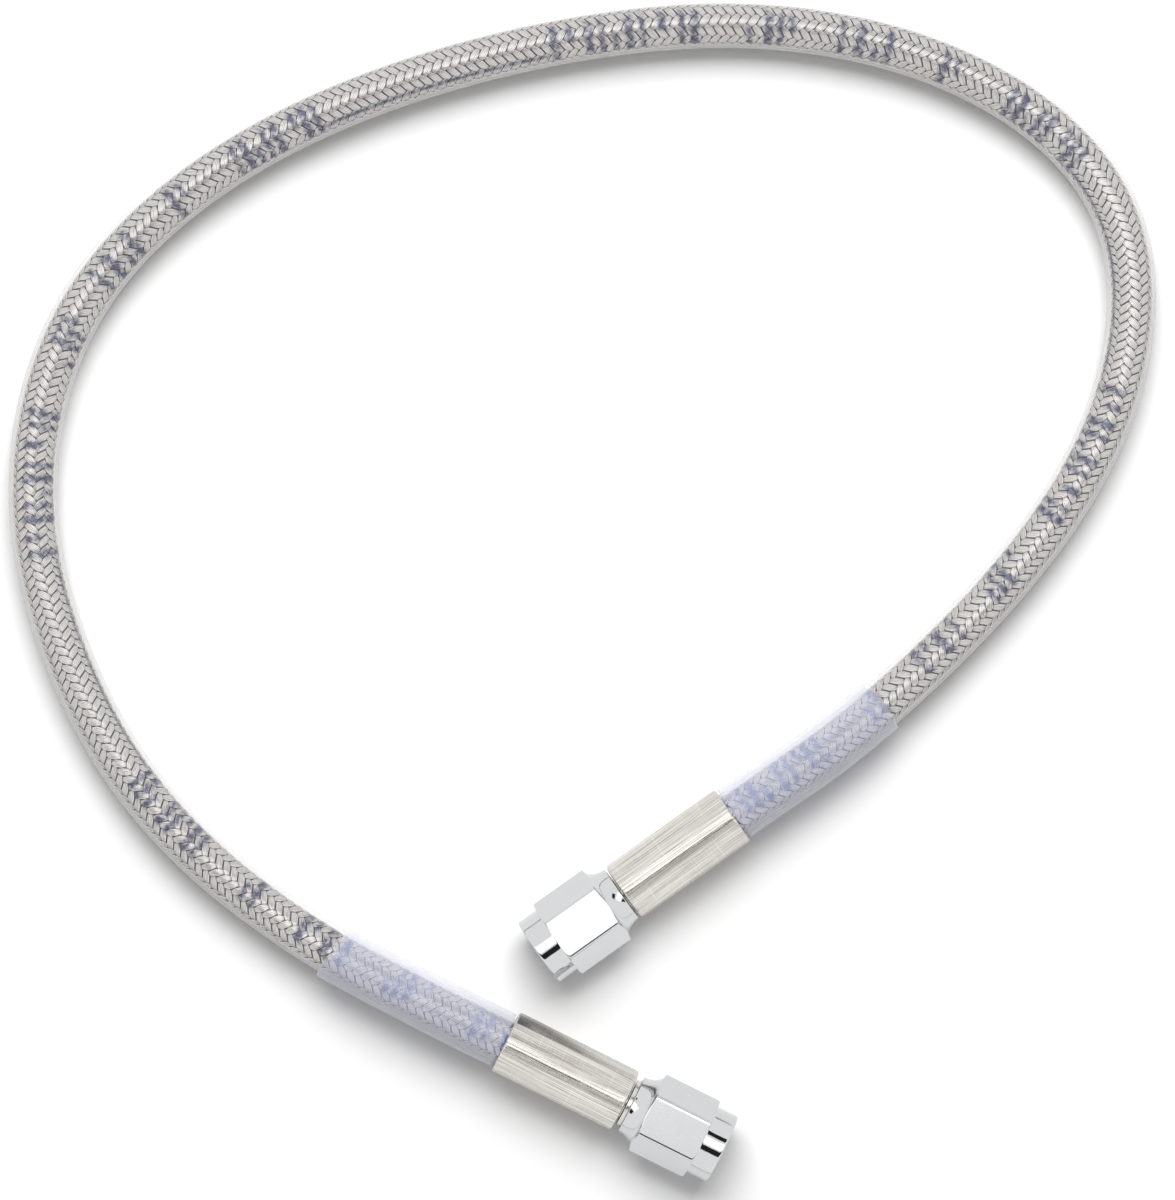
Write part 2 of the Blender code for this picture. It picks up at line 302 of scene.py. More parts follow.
def natural_spline(points, samples_per_span=96):
    """Sample a natural cubic spline through the points."""
    spans = np.linalg.norm(np.diff(points, axis=0), axis=1)
    count = len(points)
    system = np.eye(count)
    right = np.zeros((count, 3))
    for i in range(1, count - 1):
        before = spans[i - 1]
        after = spans[i]
        system[i, i - 1:i + 2] = (before, 2 * (before + after), after)
        slope_after = (points[i + 1] - points[i]) / after
        slope_before = (points[i] - points[i - 1]) / before
        right[i] = 6 * (slope_after - slope_before)
    bend = np.linalg.solve(system, right)
    samples = []
    for i in range(count - 1):
        span = spans[i]
        for u in np.arange(samples_per_span) / samples_per_span:
            ahead = u * span
            behind = span - ahead
            samples.append(
                (bend[i] * behind ** 3 + bend[i + 1] * ahead ** 3) / (6 * span)
                + (points[i] / span - bend[i] * span / 6) * behind
                + (points[i + 1] / span - bend[i + 1] * span / 6) * ahead
            )
    samples.append(points[-1])
    return np.array(samples)


class HoseLine:
    """The hose's centre line, with a level side direction all along it."""

    def __init__(self):
        first = FITTINGS["a"]
        last = FITTINGS["b"]
        points = [collar_face(first) - outward(first) * depth for depth in STRAIGHT_DEPTHS]
        points += [np.array(point) for point in ROUTE]
        points += [
            collar_face(last) - outward(last) * depth for depth in reversed(STRAIGHT_DEPTHS)
        ]
        self.samples = natural_spline(np.array(points))
        steps = np.linalg.norm(np.diff(self.samples, axis=0), axis=1)
        self.lengths = np.concatenate([[0.0], np.cumsum(steps)])
        self.total = self.lengths[-1]
        along = np.gradient(self.samples, self.lengths, axis=0)
        self.along = along / np.linalg.norm(along, axis=1)[:, None]

    def read(self, table, length):
        """Rows of a table of samples, read between its rows at the given lengths."""
        return np.stack([np.interp(length, self.lengths, table[:, k]) for k in range(3)], -1)

    def at(self, length):
        """The point on the line at a length from its start."""
        return self.read(self.samples, length)

    def surface(self, length, angle, radius):
        """Points round the line; the angle runs from straight up towards the left."""
        along = self.read(self.along, length)
        left = np.cross(np.array([0.0, 0.0, 1.0]), along)
        left /= np.linalg.norm(left, axis=-1, keepdims=True)
        up = np.cross(along, left)
        ring = np.cos(angle)[..., None] * up + np.sin(angle)[..., None] * left
        return self.at(length) + np.asarray(radius)[..., None] * ring


# --------------------------------------------------------------- mesh tools

def add_mesh(name, points, quads, maps, materials, material_index=None):
    """A smooth mesh object from arrays: points (n, 3), quads (m, 4), and maps.

    A map of (m, 4, 2) is a corner map, and a map of (n,) gives a value to each point.
    """
    mesh = bpy.data.meshes.new(name)
    mesh.vertices.add(len(points))
    mesh.vertices.foreach_set("co", np.asarray(points, np.float32).ravel())
    mesh.loops.add(quads.size)
    mesh.loops.foreach_set("vertex_index", quads.ravel().astype(np.int32))
    mesh.polygons.add(len(quads))
    mesh.polygons.foreach_set("loop_start", np.arange(0, quads.size, 4, dtype=np.int32))
    mesh.polygons.foreach_set("use_smooth", np.ones(len(quads), bool))
    for material in materials:
        mesh.materials.append(material)
    if material_index is not None:
        mesh.polygons.foreach_set("material_index", material_index.astype(np.int32))
    mesh.update(calc_edges=True)
    for map_name, values in maps.items():
        if values.ndim == 3:
            layer = mesh.uv_layers.new(name=map_name)
            layer.data.foreach_set("uv", values.reshape(-1).astype(np.float32))
        else:
            layer = mesh.attributes.new(map_name, "FLOAT", "POINT")
            layer.data.foreach_set("value", values.astype(np.float32))
    mesh.validate()
    obj = bpy.data.objects.new(name, mesh)
    bpy.context.scene.collection.objects.link(obj)
    return obj


def ring_quads(rows, columns, close_rows):
    """Faces of a grid whose columns run round, and whose rows may also close."""
    row = np.arange(rows if close_rows else rows - 1)[:, None]
    column = np.arange(columns)[None, :]
    after = (column + 1) % columns
    below = (row + 1) % rows
    corners = [row * columns + column, below * columns + column,
               below * columns + after, row * columns + after]
    return np.stack([np.broadcast_to(c, (len(row), columns)) for c in corners], -1).reshape(-1, 4)


def ring_map(rows, columns, lengths, turns):
    """The corner map of ring_quads with closed rows: metres along, and metres round."""
    row = np.arange(rows)[:, None] * np.ones(columns, int)[None, :]
    below = (row + 1) % rows
    column = np.ones(rows, int)[:, None] * np.arange(columns)[None, :]
    after = column + 1
    v = [lengths[row], lengths[below], lengths[below], lengths[row]]
    u = [turns[column], turns[column], turns[after], turns[after]]
    return np.stack([np.stack(v, -1), np.stack(u, -1)], -1).reshape(-1, 4, 2)


def fitting_points(fitting, outlet, angle, radius):
    """Points round a fitting's axis; outlet is measured outwards from its collar face."""
    heading = outward(fitting)
    left = np.array([-heading[1], heading[0], 0.0])
    up = np.array([0.0, 0.0, 1.0])
    ring = np.cos(angle)[..., None] * up + np.sin(angle)[..., None] * left
    along = np.asarray(outlet)[..., None] * heading
    return collar_face(fitting) + along + np.asarray(radius)[..., None] * ring


def turned(name, fitting, outline, steps, material, shape=None):
    """A closed outline of (outlet, radius) rows spun round a fitting's axis.

    shape, where it is given, changes the radius by place: shape(outlet, turn, radius).
    """
    outline = np.array(outline)
    angle = np.arange(steps) / steps * math.tau
    outlet = outline[:, 0][:, None] * np.ones(steps)[None, :]
    radius = outline[:, 1][:, None] * np.ones(steps)[None, :]
    turn = angle[None, :] * np.ones(len(outline))[:, None]
    if shape is not None:
        radius = shape(outlet, turn, radius)
    points = fitting_points(fitting, outlet, turn, radius)
    round_length = np.arange(steps + 1) / steps * math.tau * outline[:, 1].max()
    steps_along = np.linalg.norm(np.diff(outline[:, :2], axis=0), axis=1)
    lengths = np.concatenate([[0.0], np.cumsum(steps_along)])
    quads = ring_quads(len(outline), steps, True)[:, ::-1]
    uv = ring_map(len(outline), steps, lengths, round_length)[:, ::-1]
    return add_mesh(name, points.reshape(-1, 3), quads, {"Surface": uv}, [material])


def filleted(corners, arc_steps=5):
    """The closed outline through (outlet, radius, fillet) corners, each one rounded."""
    rows = []
    count = len(corners)
    for i, (outlet, radius, fillet) in enumerate(corners):
        here = np.array((outlet, radius))
        before = np.array(corners[i - 1][:2])
        after = np.array(corners[(i + 1) % count][:2])
        back = np.linalg.norm(before - here)
        ahead = np.linalg.norm(after - here)
        reach = min(fillet, 0.45 * back, 0.45 * ahead)
        if reach < 1e-7:
            rows.append(here)
            continue
        start = here + (before - here) / back * reach
        end = here + (after - here) / ahead * reach
        for step in range(arc_steps + 1):
            t = step / arc_steps
            rows.append((1 - t) ** 2 * start + 2 * t * (1 - t) * here + t ** 2 * end)
    return rows


def refined(rows, longest):
    """Add rows so that no step along a closed outline is longer than the given one."""
    result = []
    for i, row in enumerate(rows):
        after = rows[(i + 1) % len(rows)]
        pieces = max(1, math.ceil(np.linalg.norm(np.subtract(after, row)) / longest))
        for step in range(pieces):
            result.append(np.array(row) + (np.array(after) - np.array(row)) * step / pieces)
    return result


# ---------------------------------------------------------------- materials

class Nodes:
    """Short names for building a node material."""

    def __init__(self, name):
        self.owner = bpy.data.materials.new(name)
        self.owner.use_nodes = True
        self.tree = self.owner.node_tree
        self.tree.nodes.clear()
        self.output = self.tree.nodes.new("ShaderNodeOutputMaterial")

    def add(self, kind, **values):
        """A new node of a kind, with its own settings."""
        node = self.tree.nodes.new("ShaderNode" + kind)
        for key, value in values.items():
            setattr(node, key, value)
        return node

    def put(self, node, **inputs):
        """Set or link inputs, by name with _ for a space, or by number as in0."""
        for key, value in inputs.items():
            by_number = key.startswith("in")
            socket = node.inputs[int(key[2:]) if by_number else key.replace("_", " ")]
            if isinstance(value, bpy.types.NodeSocket):
                self.tree.links.new(value, socket)
            else:
                socket.default_value = value
        return node

    def scaled_map(self, scale):
        """The Surface map, stretched by a scale for each direction."""
        where = self.add("UVMap", uv_map="Surface")
        stretch = self.put(self.add("Mapping"), Vector=where.outputs[0], Scale=scale)
        return stretch.outputs[0]

    def noise(self, vector, scale, detail=3.0, roughness=0.55):
        """Cloudy noise from nought to one."""
        node = self.add("TexNoise")
        self.put(node, Vector=vector, Scale=scale, Detail=detail, Roughness=roughness)
        return node.outputs["Fac"]

    def remap(self, value, low, high, to_low, to_high, interpolation="LINEAR"):
        """A value's place between low and high, carried over to another range."""
        node = self.add("MapRange", interpolation_type=interpolation)
        self.put(node, Value=value, From_Min=low, From_Max=high, To_Min=to_low, To_Max=to_high)
        return node.outputs["Result"]

    def mix_color(self, factor, first, second):
        node = self.add("Mix", data_type="RGBA")
        self.put(node, in0=factor, in6=first, in7=second)
        return node.outputs[2]

    def math(self, operation, first, second=0.0):
        node = self.add("Math", operation=operation)
        self.put(node, in0=first, in1=second)
        return node.outputs[0]

    def multiply(self, first, second):
        """The product, kept between nought and one."""
        node = self.add("Math", operation="MULTIPLY", use_clamp=True)
        self.put(node, in0=first, in1=second)
        return node.outputs[0]

    def power(self, value, exponent):
        return self.math("POWER", value, exponent)

    def facing(self, **normal):
        """Zero where a surface, or the given direction, faces the eye, one side on."""
        return self.put(self.add("LayerWeight"), Blend=0.5, **normal).outputs["Facing"]

    def turned_round(self):
        """How far a tube's skin turns away round the tube, whichever way the tube runs.

        A line of sight crosses more of the wall towards the rims, but hardly
        more where it runs down the length of the tube, so haze follows this.
        """
        length_way = self.add("Tangent", direction_type="UV_MAP", uv_map="Surface").outputs[0]
        straight_on = self.math("SUBTRACT", 1.0, self.facing())
        along = self.math("SUBTRACT", 1.0, self.facing(Normal=length_way))
        across_squared = self.math("SUBTRACT", 1.0, self.math("MULTIPLY", along, along))
        across = self.math("SQRT", self.math("MAXIMUM", across_squared, 0.001))
        return self.math("SUBTRACT", 1.0, self.math("DIVIDE", straight_on, across))

    def bump(self, height, distance, strength=1.0, over=None):
        node = self.put(self.add("Bump"), Height=height, Distance=distance, Strength=strength)
        if over is not None:
            self.put(node, Normal=over)
        return node.outputs["Normal"]

    def finish(self, shader):
        """Link the shader to the output, and give back what the nodes belong to."""
        self.tree.links.new(shader, self.output.inputs["Surface"])
        return self.owner


def chrome_material():
    """Polished chrome with faint machining lines under it."""
    nodes = Nodes("Chrome")
    fine = nodes.noise(nodes.scaled_map((900.0, 5200.0, 1.0)), 1.0)
    cloud = nodes.noise(nodes.scaled_map((260.0, 260.0, 1.0)), 1.0)
    shader = nodes.add("BsdfPrincipled")
    nodes.put(
        shader,
        Base_Color=nodes.mix_color(cloud, (0.60, 0.605, 0.615, 1), (0.635, 0.64, 0.65, 1)),
        Metallic=1.0,
        Roughness=nodes.remap(fine, 0.3, 0.8, 0.035, 0.075),
        Normal=nodes.bump(fine, 0.0000012),
    )
    return nodes.finish(shader.outputs[0])


def collar_material():
    """Satin steel drawn lengthwise, with fine lines along it and faint ones round it."""
    nodes = Nodes("Crimped steel")
    drawn = nodes.noise(nodes.scaled_map((60.0, 4200.0, 1.0)), 1.0, 4.0, 0.7)
    bands = nodes.noise(nodes.scaled_map((25.0, 900.0, 1.0)), 1.0, 2.0, 0.5)
    rings = nodes.noise(nodes.scaled_map((3600.0, 70.0, 1.0)), 1.0, 2.0, 0.5)
    shade = nodes.mix_color(
        nodes.remap(drawn, 0.38, 0.64, 0.0, 1.0), (0.42, 0.39, 0.35, 1), (0.84, 0.815, 0.78, 1)
    )
    worn = nodes.mix_color(
        nodes.remap(rings, 0.56, 0.74, 0.0, 0.5), shade, (0.84, 0.82, 0.80, 1)
    )
    shader = nodes.add("BsdfPrincipled")
    nodes.put(
        shader,
        Base_Color=worn,
        Metallic=1.0,
        Roughness=nodes.remap(bands, 0.3, 0.7, 0.20, 0.36),
        Normal=nodes.bump(bands, 0.00005, 1.0, nodes.bump(drawn, 0.000032)),
    )
    return nodes.finish(shader.outputs[0])


def insert_material():
    """Turned steel with fine rings from the tool."""
    nodes = Nodes("Turned steel")
    rings = nodes.noise(nodes.scaled_map((9000.0, 40.0, 1.0)), 1.0)
    shader = nodes.add("BsdfPrincipled")
    nodes.put(
        shader,
        Base_Color=nodes.mix_color(rings, (0.58, 0.56, 0.53, 1), (0.74, 0.73, 0.71, 1)),
        Metallic=1.0,
        Roughness=nodes.remap(rings, 0.3, 0.7, 0.16, 0.30),
        Normal=nodes.bump(rings, 0.000004),
    )
    return nodes.finish(shader.outputs[0])


def core_material():
    """Waxy white fluoropolymer."""
    nodes = Nodes("Fluoropolymer")
    cloud = nodes.noise(nodes.scaled_map((220.0, 220.0, 1.0)), 1.0)
    shader = nodes.add("BsdfPrincipled")
    nodes.put(
        shader,
        Base_Color=nodes.mix_color(cloud, (0.80, 0.80, 0.78, 1), (0.90, 0.90, 0.87, 1)),
        Roughness=nodes.remap(cloud, 0.3, 0.7, 0.35, 0.5),
    )
    return nodes.finish(shader.outputs[0])


def braid_material():
    """Fine stainless wire, with ink soaked into it where the legend is printed, and painted shade
    in its creases and gaps.
    """
    nodes = Nodes("Stainless braid")
    place = nodes.add("TexCoord").outputs["Object"]
    patch = nodes.noise(place, 420.0, 2.0, 0.5)
    blotch = nodes.noise(place, 900.0, 4.0, 0.65)
    sleeved = nodes.add("Attribute", attribute_name="sleeved").outputs["Fac"]
    steel = nodes.mix_color(patch, (0.90, 0.865, 0.815, 1), (1.0, 0.985, 0.955, 1))
    steel = nodes.mix_color(sleeved, steel, (1.0, 0.945, 0.87, 1))
    # Painted shade: by the shade value each ribbon carries, the steel is mixed towards a
    # near-black gap colour, blue under a sleeve, in wire valleys, at ribbon edges and undersides,
    # and where ribbons dive.
    crease = nodes.add("Attribute", attribute_name="crease").outputs["Fac"]
    painted_gap_shade = nodes.mix_color(sleeved, (0.07, 0.065, 0.08, 1), (0.10, 0.15, 0.42, 1))
    shaded = nodes.mix_color(crease, steel, painted_gap_shade)
    printed = nodes.add("Attribute", attribute_name="ink").outputs["Fac"]
    broken = nodes.multiply(printed, nodes.remap(blotch, 0.40, 0.54, 0.35, 1.0))
    # The ink is drawn darker where the same painted shade lies.
    bare_ink = nodes.mix_color(crease, (0.085, 0.095, 0.20, 1), (0.008, 0.010, 0.045, 1))
    ink = nodes.mix_color(sleeved, bare_ink, (0.05, 0.12, 0.44, 1))
    shader = nodes.add("BsdfPrincipled")
    nodes.put(
        shader,
        Base_Color=nodes.mix_color(broken, shaded, ink),
        Metallic=nodes.remap(broken, 0.0, 1.0, 0.92, 0.45),
        Roughness=nodes.remap(patch, 0.3, 0.7, 0.28, 0.40),
    )
    return nodes.finish(shader.outputs[0])


def clear_material(name, haze_color, tint, haze_center, haze_rim, roughness):
    """Clear soft plastic: haze that thickens towards its rim, under a glossy skin."""
    nodes = Nodes(name)
    place = nodes.add("TexCoord").outputs["Object"]
    cloud = nodes.noise(place, 260.0, 3.0, 0.6)
    turned_away = nodes.turned_round()
    amount = nodes.remap(turned_away, *SKIN_HAZE_RANGE, haze_center, haze_rim, "SMOOTHSTEP")
    clear = nodes.put(nodes.add("BsdfTransparent"), Color=tint)
    dimmer = tuple(CLOUD_SHADE * c for c in haze_color[:3]) + (1,)
    haze = nodes.put(
        nodes.add("BsdfDiffuse"), Color=nodes.mix_color(cloud, haze_color, dimmer)
    )
    body = nodes.put(
        nodes.add("MixShader"), in0=amount, in1=clear.outputs[0], in2=haze.outputs[0]
    )
    gloss = nodes.put(
        nodes.add("BsdfGlossy"),
        Roughness=nodes.remap(cloud, 0.3, 0.7, roughness * 0.8, roughness * 1.25),
    )
    grazing = nodes.power(nodes.facing(), 5.0)
    mirror = nodes.remap(grazing, 0.0, 1.0, PLASTIC_MIRROR, PLASTIC_RIM_MIRROR)
    shader = nodes.put(
        nodes.add("MixShader"), in0=mirror, in1=body.outputs[0], in2=gloss.outputs[0]
    )
    return nodes.finish(shader.outputs[0])


def inner_skin_material(name, color, haze_center, haze_rim):
    """The inside wall of a clear tube, which only adds a little more haze."""
    nodes = Nodes(name)
    place = nodes.add("TexCoord").outputs["Object"]
    cloud = nodes.remap(nodes.noise(place, 300.0), 0.3, 0.7, 0.75, 1.25)
    turned_away = nodes.turned_round()
    amount = nodes.remap(turned_away, *WALL_HAZE_RANGE, haze_center, haze_rim, "SMOOTHSTEP")
    clear = nodes.put(nodes.add("BsdfTransparent"), Color=(1, 1, 1, 1))
    film = nodes.put(nodes.add("BsdfDiffuse"), Color=color)
    shader = nodes.put(
        nodes.add("MixShader"),
        in0=nodes.multiply(amount, cloud),
        in1=clear.outputs[0],
        in2=film.outputs[0],
    )
    return nodes.finish(shader.outputs[0])


# --------------------------------------------------------------------- hose

def tube(name, line, start, end, step, columns, outer, inner, materials, skew=None):
    """A closed tube on the hose line, a ring for each step.

    outer and inner give a radius for a length and an angle. skew, where it is
    given, moves each point along. The second material, where there is one, is
    for the wall inside.
    """
    count = max(2, round((end - start) / step)) + 1
    lengths = np.linspace(start, end, count)
    angle = np.arange(columns) / columns * math.tau
    station = np.concatenate([lengths, lengths[::-1]])[:, None] * np.ones(columns)[None, :]
    turn = angle[None, :] * np.ones(2 * count)[:, None]
    if skew is not None:
        station = skew(station, turn)
    radius = np.concatenate([
        outer(station[:count], turn[:count]), inner(station[count:], turn[count:])
    ])
    points = line.surface(station, turn, radius)
    quads = ring_quads(2 * count, columns, True)
    lengths_round = np.arange(columns + 1) / columns * math.tau * float(radius.max())
    uv = ring_map(2 * count, columns, station[:, 0], lengths_round)
    row = np.repeat(np.arange(2 * count), columns)
    wall = (row >= count - 1) if len(materials) > 1 else np.zeros_like(row)
    return add_mesh(name, points.reshape(-1, 3), quads, {"Surface": uv}, materials, wall)


def constant(value):
    """A radius that is the same everywhere on a tube."""
    return lambda station, turn: np.full(station.shape, value)


def legend_place(station):
    """Where a length along the hose falls in the repeating legend."""
    return np.mod(station - PRINT_START, PRINT_PERIOD)


def soft_band(distance, half_width, blur):
    """One inside a band, falling to zero over the blur at its edges."""
    return np.clip((half_width + blur - np.abs(distance)) / (2 * blur), 0.0, 1.0)


def ink_amount(station, angle):
    """How much ink lies at a length from collar a's mouth and an angle from the top."""
    place = legend_place(station)
    drift = PRINT_DRIFT * np.sin(station / PRINT_DRIFT_LENGTH * math.tau)
    turn = np.mod(angle + drift + math.pi, math.tau) - math.pi
    ink = np.zeros_like(place)
    for i, (bar, half_width) in enumerate(BARS):
        top = PRINT_MIDDLE if i % 6 == 2 else PRINT_TOP
        bottom = PRINT_MIDDLE if i % 6 == 5 else PRINT_BOTTOM
        in_height = soft_band(turn - (top + bottom) / 2, (top - bottom) / 2, BAR_TIP)
        bar_ink = soft_band(place - bar, half_width / 1000, BAR_EDGE)
        ink = np.maximum(ink, bar_ink * in_height)
    line_near = soft_band(turn - LAY_LINE_ANGLE, LAY_LINE_HALF_WIDTH, LAY_LINE_EDGE)
    line_start, line_end = LAY_LINE
    middle = (line_start + line_end) / 2
    inside = soft_band(place - middle, (line_end - line_start) / 2, LAY_LINE_TIP)
    return np.maximum(ink, inside * line_near)


def crossing_marks(total):
    """Rows along a ribbon, counted in crossings, closest where it dives under."""
    waves = int(2 * CARRIERS * total / BRAID_LEAD / CROSSINGS_PER_WAVE) + 2 * CARRIERS
    marks = []
    for wave in range(-waves, waves):
        marks += [CROSSINGS_PER_WAVE * wave + mark for mark in OVER_ROWS + UNDER_ROWS]
    return np.array(marks)


def ribbon_painted_shade(carrier, wave):
    """Painted shade on each point of a ribbon's top: between its wires, at its edges and where it
    dives.
    """
    column = np.arange(2 * WIRES + 1)
    uneven = 0.5 + 0.5 * np.sin(WIRE_VARIATION * column + RIBBON_VARIATION * carrier)
    least, added = VALLEY_SHADE
    shade = np.where(column % 2 == 1, CROWN_SHADE * uneven, least + added * uneven)
    shade[0] = shade[-1] = EDGE_SHADE
    dive = np.clip(DIVE_START - wave, 0.0, 1.0)
    return np.clip(shade[None, :] + dive, 0.0, 1.0)


def under_sleeve(along, mouth, total):
    """One where a length along the line is under a sleeve, else zero."""
    from_a = along - mouth - FITTINGS["a"]["sleeve_length"]
    from_b = total - mouth - FITTINGS["b"]["sleeve_length"] - along
    return ((from_a < 0) | (from_b < 0)).astype(float)


def ribbon(line, carrier, hand, mouth):
    """One flat ribbon of wires as a closed strip: its points, faces and point values.

    hand is 1 where the ribbon turns left going away from collar a, -1 where it
    turns right. Each row runs along the ribbons of the other hand, so that the
    strip dives exactly between them.
    """
    crossings = crossing_marks(line.total)
    travel = (crossings - 2 * carrier) * hand
    station = travel * BRAID_LEAD / (2 * CARRIERS)
    keep = (station > BRAID_TRIM) & (station < line.total - BRAID_TRIM)
    count = 2 * WIRES + 1
    across = np.linspace(-0.5, 0.5, count) * RIBBON_COVER
    crown = np.where(np.arange(count) % 2 == 1, 0.0, -WIRE_RELIEF)
    crown[0] = crown[-1] = -RIBBON_THICKNESS * 0.4
    cross = crossings[keep][:, None] + np.zeros(count)[None, :]
    swing = np.cos(math.tau * (cross - 0.5) / CROSSINGS_PER_WAVE)
    wave = hand * np.tanh(WAVE_SHARPNESS * swing) / math.tanh(WAVE_SHARPNESS)
    own = carrier + across[None, :] * (1 - RIBBON_PINCH * (1 - wave ** 2))
    other = cross - carrier
    turn = math.pi / CARRIERS * (own + other) + BRAID_TURN
    along = (other - own) * hand * BRAID_LEAD / (2 * CARRIERS)
    middle = BRAID_MIDDLE_RADIUS + BRAID_WAVE * wave
    top = middle + RIBBON_THICKNESS / 2 + crown[None, :]
    bottom_columns = [count - 1, 0]
    bottom = middle[:, bottom_columns] - RIBBON_THICKNESS / 2
    turns = np.concatenate([turn, turn[:, bottom_columns]], 1)
    alongs = np.concatenate([along, along[:, bottom_columns]], 1)
    radii = np.concatenate([top, bottom], 1)
    points = line.surface(alongs, turns, radii)
    rows, columns = turns.shape
    quads = ring_quads(rows, columns, False)[:, ::hand]
    # Painted shade: full on the ribbon's two underside columns, and as drawn on its top.
    crease = np.concatenate([ribbon_painted_shade(carrier, wave), np.ones((rows, 2))], 1)
    ink = ink_amount(alongs - mouth, turns)
    sleeved = under_sleeve(alongs, mouth, line.total)
    return points.reshape(-1, 3), quads, ink.ravel(), crease.ravel(), sleeved.ravel()


def build_braid(line, mouth, material):
    """The ribbons of both hands, a few to a piece."""
    pieces = []
    for hand, side in ((1, "left"), (-1, "right")):
        for group in range(CARRIERS // RIBBONS_PER_PIECE):
            parts = []
            for member in range(RIBBONS_PER_PIECE):
                carrier = group * RIBBONS_PER_PIECE + member
                parts.append(ribbon(line, carrier, hand, mouth))
            starts = np.cumsum([0] + [len(part[0]) for part in parts[:-1]])
            points = np.concatenate([part[0] for part in parts])
            quads = np.concatenate([part[1] + start for part, start in zip(parts, starts)])
            maps = {
                "ink": np.concatenate([part[2] for part in parts]),
                "crease": np.concatenate([part[3] for part in parts]),
                "sleeved": np.concatenate([part[4] for part in parts]),
            }
            name = "braid_ribbons_" + side + "_" + str(group + 1)
            piece = add_mesh(name, points, quads, maps, [material])
            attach(piece, "hose")
            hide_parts("hose_braid")
            pieces.append(piece)
    return pieces


def sleeve_outer(butt, free_end):
    """A sleeve's outer radius: slightly uneven, and flared at its free end."""
    def radius(station, turn):
        from_free = np.abs(station - free_end)
        flare = SLEEVE_FLARE * np.exp(-from_free / SLEEVE_FLARE_REACH)
        wobble = SLEEVE_SWELL * np.sin(station / SLEEVE_SWELL_REACH + 2 * turn + butt)
        wobble += SLEEVE_RIPPLE * np.sin(station / SLEEVE_RIPPLE_REACH - 3 * turn)
        return SLEEVE_RADIUS + flare + wobble
    return radius


def build_sleeve(label, line, butt, free_end, materials):
    """A clear sleeve pushed up against a collar, with a hand-cut free end."""
    outer = sleeve_outer(butt, free_end)

    def inner(station, turn):
        lip = SLEEVE_LIP * np.exp(-np.abs(station - free_end) / SLEEVE_LIP_REACH)
        return outer(station, turn) - SLEEVE_WALL + lip

    def cut(station, turn):
        share = np.clip((station - butt) / (free_end - butt), 0.0, 1.0) ** 8
        wave = np.sin(turn + 0.6) + 0.35 * np.sin(3 * turn + 1.2)
        return station + SLEEVE_SKEW * share * wave

    start, end = sorted((butt, free_end))
    piece = tube(
        "end_sleeve_skin_" + label, line, start, end, *SLEEVE_MESH, outer, inner, materials, cut)
    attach(piece, "hose")
    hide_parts("end_sleeve_" + label)
    return piece


def build_hose(line):
    """The cover, with everything else that lies along it."""
    mouth_a = COLLAR_LENGTH - BRAID_END
    mouth_b = line.total - mouth_a
    cover_skins = [
        clear_material("Clear cover", (0.965, 0.955, 0.95, 1), CLEAR, 0.03, 0.62, 0.12),
        inner_skin_material("Clear cover inside", (0.96, 0.95, 0.94, 1), 0.03, 0.60),
    ]
    sleeve_skins = [
        clear_material("Clear sleeve", (0.95, 0.96, 1.0, 1), LAVENDER, 0.15, 0.58, 0.20),
        inner_skin_material("Clear sleeve inside", (0.84, 0.87, 1.0, 1), 0.16, 0.55),
    ]
    covered = COVER_END - BRAID_END
    cover = tube(
        "cover_tube", line, covered, line.total - covered, *COVER_MESH,
        constant(COVER_RADIUS), constant(COVER_INNER_RADIUS), cover_skins,
    )
    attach(cover, "hose")
    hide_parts("hose_cover")

    core = tube(
        "core_tube", line, 0.0, line.total, *CORE_MESH,
        constant(CORE_RADIUS), constant(CORE_RADIUS - CORE_WALL), [core_material()],
    )
    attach(core, "hose")
    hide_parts("hose_core")

    braid = build_braid(line, mouth_a, braid_material())
    butt_a = mouth_a + SLEEVE_GAP
    butt_b = mouth_b - SLEEVE_GAP
    sleeve_a = build_sleeve(
        "a", line, butt_a, butt_a + FITTINGS["a"]["sleeve_length"], sleeve_skins)
    sleeve_b = build_sleeve(
        "b", line, butt_b, butt_b - FITTINGS["b"]["sleeve_length"], sleeve_skins)

    rings = np.linspace(covered, line.total - covered, CORD_RINGS)
    path = [tuple(line.at(length)) for length in rings]
    tuple(line.at(mouth_a))


# ----------------------------------------------------------------- fittings

def crimp_shape(radius_max):
    """Eight shallow die flats with a fine raised line between neighbours."""
    def shape(outlet, turn, radius):
        phase = np.mod(turn * CRIMP_DIES / math.tau, 1.0)
        flat = CRIMP_FLAT_DEPTH * (1 - (2 * np.abs(phase - 0.5)) ** 2)
        split = np.minimum(phase, 1 - phase) * math.tau / CRIMP_DIES
        ridge = CRIMP_RIDGE * np.exp(-(split / CRIMP_RIDGE_WIDTH) ** 2)
        middle = -outlet / COLLAR_LENGTH
        pressed = np.clip(np.minimum(middle, 1 - middle) / CRIMP_FADE, 0.0, 1.0)
        wall = radius_max - COLLAR_MOUTH_RADIUS
        outside = np.clip((radius - COLLAR_MOUTH_RADIUS) / wall, 0.0, 1.0)
        return radius + (ridge - flat) * pressed * outside - CRIMP_CLEARANCE * outside
    return shape


